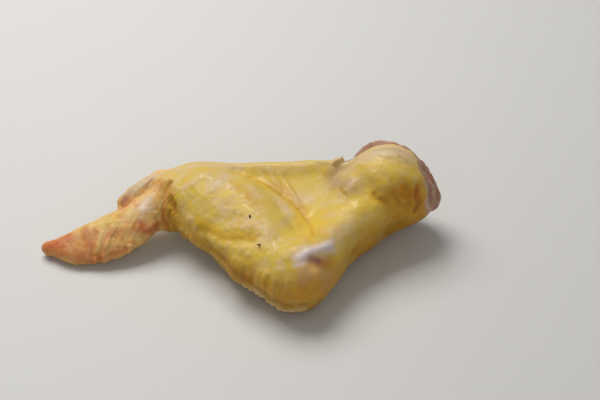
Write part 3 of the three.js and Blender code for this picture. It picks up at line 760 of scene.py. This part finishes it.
def paint_zones(clay):
    """Every zone of colour, then the hand, painted shade on the low front and how dappled the skin
    is.
    """
    clay.ragged = clay.noise(4.5, 11) * 0.7 + clay.noise(1.7, 12) * 0.4
    for name, bone, places, width, strength in ZONES:
        ragged = 0.45 if width > 1.5 else 0.2
        clay.paint(name, strength * clay.near(bone, places, width, ragged))
    along_hand, offset = HAND.measure(clay.points)
    on_hand = smoothly(-0.02, 0.12, along_hand / HAND.length + offset * 0.006)
    clay.paint("pink", on_hand)
    middle = clay.near(HAND, [(0.35, -6), (0.5, -5.5), (0.7, -4.8)], 4.5, 0.5)
    clay.wipe("pink", 0.6 * middle)

    # Painted shade: the faces that turn down towards the front get dark yellow-brown, and the
    # darkest brown low down near the table.
    low = smoothly(0.85, 0.15, clay.normals[:, 2])
    along_arm, _ = UPPER_ARM.measure(clay.points)
    upper = smoothly(0.05, 0.5, along_arm / UPPER_ARM.length)
    front = smoothly(0.0, 0.7, -clay.normals[:, 1])
    streaked = np.clip(0.9 + 0.45 * clay.ragged, 0.35, 1)
    shaded = (1 - on_hand) * front * low
    clay.paint("ochre", shaded * (0.85 + 0.15 * upper) * streaked)
    clay.paint("hollow", shaded * smoothly(16, 4, clay.points[:, 2]) * 0.45)
    rim = clay.near(FOREARM, ELBOW_RIM, 1.9, 0.6)
    for name in ("ochre", "hollow"):
        clay.wipe(name, 0.85 * rim)
    clay.paint("grey", 0.6 * rim)
    # Paler on the faces that turn down and away from the front.
    clay.paint("pale", 0.35 * smoothly(0.2, -0.6, clay.normals[:, 2]) * (1 - front))

    forearm = clay.near(FOREARM, [(0.9, 4, 22), (0.6, 4, 24), (0.3, 0, 22), (0.0, -6, 18)], 15)
    drumette = clay.near(UPPER_ARM, [(0.05, -4, 24), (0.5, -5, 24), (0.9, -6, 24)], 13)
    broken = np.maximum(smoothly(0.25, 0.65, forearm), 0.8 * on_hand)
    clay.paint("dappled", np.maximum(broken, 0.45 * smoothly(0.2, 0.6, drumette)))
    clay.paint("dappled", 0.4 * front)


class WING_OT_skin(bpy.types.Operator):
    """Remesh a copy of the solid, work its folds and follicles and paint its skin"""

    bl_idname = "wing.skin"
    bl_label = "Skinned wing"

    def execute(self, context):
        random.seed(7)
        piece = copy_of_solid()
        modify(piece, "REMESH", mode="VOXEL", voxel_size=sizes().grain)
        modify(piece, "SMOOTH", factor=0.5, iterations=10)
        clay = Clay(piece.data)
        paint_zones(clay)
        press_folds(clay)
        cut_shoulder(clay)
        clay.refresh()
        rib_elbow(clay)
        raise_quill_follicles(clay)
        pleat_hand(clay)
        fleck_hand(clay)
        wrap_wrist(clay)
        clay.refresh()
        pull_tags(clay)
        clay.refresh()
        lump_skin(clay)
        clay.refresh()
        clay.keep_paints()
        modify(piece, "SMOOTH", factor=0.5, iterations=1)
        take(piece)
        bpy.ops.object.shade_smooth()
        piece.data.materials.append(skin_finish())
        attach(piece, BODY)
        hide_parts(SOLID)
        return {"FINISHED"}


# Small pieces on the skin.


def skin_top(x, y):
    """The skin's height and outward direction at a place in millimetres."""
    piece = bpy.data.objects[PIECE]
    hit, place, normal, _ = piece.ray_cast(
        Vector((x * MM, y * MM, 0.1)), Vector((0, 0, -1))
    )
    if not hit:
        raise RuntimeError(f"no skin at {x:.1f}, {y:.1f} mm")
    return place, normal


# Stubs of feather shafts: bone, share, offset, length in millimetres, and the heading in
# radians to which the stub leans.
STUBS = [(FOREARM, 0.388, 2.9, 1.5, 1.5), (FOREARM, 0.221, -5.1, 1.9, -2.5)]
STUB_SIDES = 12


def feather_stub(bone, share, offset, length, heading):
    """A short shaft with an open, broken end, leaning out of the skin."""
    place, normal = skin_top(*bone.place(share, offset))
    width, length = sizes().stub_width, length * MM
    bpy.ops.object.select_all(action="DESELECT")
    bpy.ops.mesh.primitive_cylinder_add(vertices=STUB_SIDES, radius=width / 2, depth=length)
    stub = bpy.context.object
    bpy.ops.object.mode_set(mode="EDIT")
    bpy.ops.mesh.select_all(action="DESELECT")
    for face in bmesh.from_edit_mesh(stub.data).faces:
        face.select = face.normal.z > 0.9
    bpy.ops.mesh.inset(thickness=width * 0.14)
    bpy.ops.transform.translate(value=(width * 0.2, 0, -length * 0.12))
    bpy.ops.object.mode_set(mode="OBJECT")
    lying = (normal + Vector((math.cos(heading), math.sin(heading), 0))).normalized()
    stub.rotation_mode = "QUATERNION"
    stub.rotation_quaternion = lying.to_track_quat("Z", "X")
    stub.location = place + lying * length * 0.22
    bpy.ops.object.transform_apply(location=True, rotation=True, scale=True)
    return stub


class WING_OT_quills(bpy.types.Operator):
    """Set the broken feather shafts in their follicles"""

    bl_idname = "wing.quills"
    bl_label = "Feather shafts"

    def execute(self, context):
        stubs = [feather_stub(*row) for row in STUBS]
        take(stubs[0])
        for stub in stubs:
            stub.select_set(True)
        bpy.ops.object.join()
        quills = context.object
        quills.name = "feather_shafts"
        modify(quills, "BEVEL", width=sizes().stub_width * 0.08, segments=2)
        take(quills)
        bpy.ops.object.shade_smooth()
        quills.data.materials.append(quill_finish())
        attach(quills, BODY)
        return {"FINISHED"}


# Finishes.


class Wire:
    """One output of a node. Arithmetic on it adds Math nodes to the same finish."""

    def __init__(self, finish, socket):
        self.finish = finish
        self.socket = socket

    def calculate(self, operation, first, second):
        return self.finish.node(
            "ShaderNodeMath", {"operation": operation}, {0: first, 1: second}
        )

    def __add__(self, other):
        return self.calculate("ADD", self, other)

    def __radd__(self, other):
        return self.calculate("ADD", other, self)

    def __sub__(self, other):
        return self.calculate("SUBTRACT", self, other)

    def __rsub__(self, other):
        return self.calculate("SUBTRACT", other, self)

    def __mul__(self, other):
        return self.calculate("MULTIPLY", self, other)

    def __rmul__(self, other):
        return self.calculate("MULTIPLY", other, self)

    def smooth(self, low, high):
        """0 below low, 1 above high, and a smooth step between them."""
        return self.finish.node(
            "ShaderNodeMapRange",
            {"interpolation_type": "SMOOTHSTEP"},
            {"Value": self, "From Min": low, "From Max": high},
        )


class Finish:
    """A material while its nodes are wired."""

    def __init__(self, name):
        self.material = bpy.data.materials.new(name)
        self.material.use_nodes = True
        self.nodes = self.material.node_tree.nodes
        self.links = self.material.node_tree.links
        self.shader = self.nodes["Principled BSDF"]

    def node(self, kind, settings=None, values=None, output=0):
        """Adds a node with its settings and socket values, and hands back one output."""
        made = self.nodes.new(kind)
        for key, value in (settings or {}).items():
            setattr(made, key, value)
        for key, value in (values or {}).items():
            self.feed(made.inputs[key], value)
        return Wire(self, made.outputs[output])

    def feed(self, socket, value):
        """Links a wire to a socket, or sets the socket's value."""
        if isinstance(value, Wire):
            self.links.new(value.socket, socket)
        else:
            socket.default_value = value

    def paint(self, name):
        """The amount of one paint, from the mesh."""
        return self.node(
            "ShaderNodeAttribute",
            {"attribute_type": "GEOMETRY", "attribute_name": name},
            output="Fac",
        )

    def places(self):
        return self.node("ShaderNodeTexCoord", output="Object")

    def mottle(self, places, size, detail=2.0, roughness=0.5):
        """Noise from 0 to 1 with features of about the given size in millimetres."""
        return self.node(
            "ShaderNodeTexNoise",
            {"noise_dimensions": "3D"},
            {"Vector": places, "Scale": 1 / (size * MM), "Detail": detail,
             "Roughness": roughness},
        )

    def over(self, amount, under, top):
        """One colour laid over another by an amount."""
        made = self.nodes.new("ShaderNodeMix")
        made.data_type = "RGBA"
        made.blend_type = "MIX"
        made.clamp_factor = True
        self.feed(made.inputs[0], amount)
        for socket, value in ((made.inputs[6], under), (made.inputs[7], top)):
            self.feed(socket, value if isinstance(value, Wire) else (*value, 1))
        return Wire(self, made.outputs[2])

    def set(self, **values):
        """Feeds the shader's sockets, named with underscores for spaces."""
        for name, value in values.items():
            self.feed(self.shader.inputs[name.replace("_", " ")], value)
        return self.material


# The fine relief in the skin's material: the spacing of its dots and the height of the
# whole, in millimetres. A fibre of meat is drawn out by the inverse of its share.
FINE_DOT_SPACING, FINE_RELIEF_HEIGHT, FIBRE_SHARE = 1.7, 0.25, 0.22


def skin_finish():
    """Raw skin: yellow fat, pale follicles, pink hand, dark yellow-brown skin over dark meat with
    painted shade in folds and hollows, cut meat and bone.
    """
    tints = colours()
    finish = Finish("raw_skin")
    places = finish.places()
    broad = finish.mottle(places, 9, 2)
    patches = finish.mottle(places, 4.4, 3, 0.5)
    specks = finish.mottle(places, 0.9, 3, 0.65)
    follicles = finish.node(
        "ShaderNodeTexVoronoi", {"feature": "F1"},
        {"Vector": places, "Scale": 1 / (FINE_DOT_SPACING * MM), "Randomness": 0.85},
        output="Distance",
    )
    fine_dots = 1 - follicles.smooth(0.12, 0.5)

    dappled = finish.paint("dappled")
    base = finish.over(broad.smooth(0.38, 0.62) * 0.5, tints.skin, tints.fat)
    base = finish.over(patches.smooth(0.47, 0.64) * (0.15 + dappled * 0.45), base, tints.pale)
    base = finish.over((1 - patches.smooth(0.36, 0.48)) * 0.5, base, tints.fat)
    base = finish.over(finish.paint("fat") * (0.45 + patches * 0.6), base, tints.fat)
    base = finish.over(finish.paint("pale") * (0.65 + broad * 0.5), base, tints.pale)
    # Ochre skin over dark meat, also painted shade on the low front and in folds.
    ochre = finish.paint("ochre") * (0.62 + patches.smooth(0.3, 0.7) * 0.38)
    base = finish.over(ochre, base, tints.ochre)
    # Painted shade in hollows, pits and folds.
    base = finish.over(finish.paint("hollow") * (0.6 + specks * 0.5), base, tints.hollow)
    pink = finish.paint("pink") * (0.55 + broad.smooth(0.35, 0.6) * 0.4)
    base = finish.over(pink, base, tints.pink)
    flecks = finish.mottle(places, 2.3, 3, 0.6)
    hand = finish.paint("pink")
    base = finish.over(hand * flecks.smooth(0.50, 0.60) * 0.55, base, tints.pale)
    base = finish.over(hand * (1 - flecks.smooth(0.36, 0.47)) * 0.32, base, tints.blush)
    base = finish.over(finish.paint("grey"), base, tints.grey)
    base = finish.over(finish.paint("goosebump") * 0.2, base, tints.pale)
    base = finish.over(fine_dots * specks.smooth(0.4, 0.7) * 0.15, base, tints.grey)
    base = finish.over(finish.paint("gristle") * (0.6 + specks * 0.5), base, tints.gristle)
    base = finish.over(finish.paint("blush") * (0.5 + specks * 0.7), base, tints.blush)
    base = finish.over(finish.paint("bruise"), base, tints.bruise)
    base = finish.over(finish.paint("pore") * 0.5, base, tints.ochre)

    along_bone = finish.node(
        "ShaderNodeMapping", {"vector_type": "POINT"},
        {"Vector": places, "Rotation": (0, 0, math.radians(-UPPER_ARM_HEADING)),
         "Scale": (FIBRE_SHARE, 1, 1)},
    )
    fibres = finish.mottle(along_bone, 1.0, 3, 0.6)
    meat = finish.over(fibres.smooth(0.42, 0.68) * 0.35, tints.meat, tints.sinew)
    meat = finish.over(broad.smooth(0.48, 0.66) * 0.3, meat, tints.blush)
    base = finish.over(finish.paint("meat"), base, meat)
    base = finish.over(finish.paint("sinew"), base, tints.sinew)
    base = finish.over(finish.paint("bone"), base, tints.bone)

    grain = finish.mottle(places, 0.5, 2, 0.6)
    relief = grain * 0.35 + specks * 0.5 + fine_dots * 0.35
    bump = finish.node(
        "ShaderNodeBump",
        {},
        {"Strength": 0.55, "Distance": FINE_RELIEF_HEIGHT * MM, "Height": relief},
    )
    wet = finish.paint("gristle") * 0.2 + finish.paint("meat") * 0.08
    return finish.set(
        Base_Color=base,
        Roughness=0.44 + specks * 0.16 - wet,
        Normal=bump,
        Subsurface_Weight=0.25,
        Subsurface_Radius=(1.0, 0.42, 0.16),
        Subsurface_Scale=0.0016,
        Specular_IOR_Level=0.25,
        Coat_Weight=0.11,
        Coat_Roughness=0.14,
        IOR=1.4,
    )


def quill_finish():
    """Dark, dry feather shaft."""
    finish = Finish("feather_shaft")
    grain = finish.mottle(finish.places(), 0.3, 2)
    colour = finish.over(grain.smooth(0.4, 0.7) * 0.5, colours().quill, colours().ochre)
    return finish.set(Base_Color=colour, Roughness=0.6)


# The stage: table, light and camera.


AIM = (0.01, 0.0, 0.015)
WHITE = (1.0, 1.0, 1.0)
CAMERA_PITCH = 38
CAMERA_BACK, CAMERA_UP = 408.48, 372.16


def soft_box(name, place, width, height, power, colour):
    """A rectangular area light that faces the wing."""
    light = bpy.data.lights.new(name, "AREA")
    light.shape = "RECTANGLE"
    light.size, light.size_y = width, height
    light.energy = power
    light.color = colour
    lamp = bpy.data.objects.new(name, light)
    lamp.location = place
    lamp.rotation_mode = "QUATERNION"
    lamp.rotation_quaternion = (Vector(AIM) - Vector(place)).to_track_quat("-Z", "Y")
    bpy.context.scene.collection.objects.link(lamp)
    return lamp


class WING_OT_stage(bpy.types.Operator):
    """Make the table, the soft light and the camera"""

    bl_idname = "wing.stage"
    bl_label = "Table, light and camera"

    def execute(self, context):
        scene = context.scene
        bpy.ops.object.select_all(action="DESELECT")
        bpy.ops.mesh.primitive_plane_add(size=6)
        table = context.object
        table.name = "table"
        finish = Finish("table")
        cloud = finish.mottle(finish.places(), 40, 2)
        tone = finish.over(cloud * 0.12, colours().table, shade(190, 189, 187))
        table.data.materials.append(finish.set(Base_Color=tone, Roughness=0.6))

        soft_box("key", (-0.25, 0.45, 0.75), 0.7, 0.5, 7.6, (1.0, 0.985, 0.96))
        soft_box("fill", (0.1, -0.9, 0.6), 0.9, 0.6, 1.7, (1.0, 0.99, 0.97))
        glint = soft_box("glint", (-0.1, 0.5, 0.6), 0.08, 0.08, 0.65, WHITE)
        glint.visible_diffuse = False

        world = bpy.data.worlds.new("soft_room")
        world.use_nodes = True
        background = world.node_tree.nodes["Background"]
        background.inputs["Color"].default_value = (1.0, 0.99, 0.97, 1)
        background.inputs["Strength"].default_value = 0.26
        scene.world = world
        scene.view_settings.view_transform = "Standard"

        camera = bpy.data.cameras.new("camera")
        camera.lens = 80
        camera.sensor_width = 36
        camera.clip_start = 0.01
        eye = bpy.data.objects.new("camera", camera)
        x, y = ELBOW[0] + 0.5, ELBOW[1] - CAMERA_BACK
        eye.location = (x * MM, y * MM, CAMERA_UP * MM)
        eye.rotation_euler = (math.radians(90 - CAMERA_PITCH), 0, 0)
        scene.collection.objects.link(eye)
        scene.camera = eye
        return {"FINISHED"}


class WING_PT_panel(bpy.types.Panel):
    """The wing's pieces, sizes and colours in the sidebar"""

    bl_idname = "WING_PT_panel"
    bl_label = "Raw chicken wing"
    bl_space_type = "VIEW_3D"
    bl_region_type = "UI"
    bl_category = "Wing"

    def draw(self, context):
        for operator in OPERATORS:
            self.layout.operator(operator.bl_idname)
        for group in (context.scene.wing_sizes, context.scene.wing_colours):
            box = self.layout.box()
            for name in group.__annotations__:
                box.prop(group, name)


GROUPS = (WingSizes, WingColours)
OPERATORS = (WING_OT_stage, WING_OT_skin, WING_OT_quills)
CLASSES = (*GROUPS, *OPERATORS, WING_PT_panel)


def register():
    for made in CLASSES:
        bpy.utils.register_class(made)
    bpy.types.Scene.wing_sizes = bpy.props.PointerProperty(type=WingSizes)
    bpy.types.Scene.wing_colours = bpy.props.PointerProperty(type=WingColours)


def unregister():
    del bpy.types.Scene.wing_colours
    del bpy.types.Scene.wing_sizes
    for made in reversed(CLASSES):
        bpy.utils.unregister_class(made)


def main():
    register()
    bpy.ops.wing.stage()
    bpy.ops.wing.skin()
    bpy.ops.wing.quills()


if __name__ == "__main__":
    main()
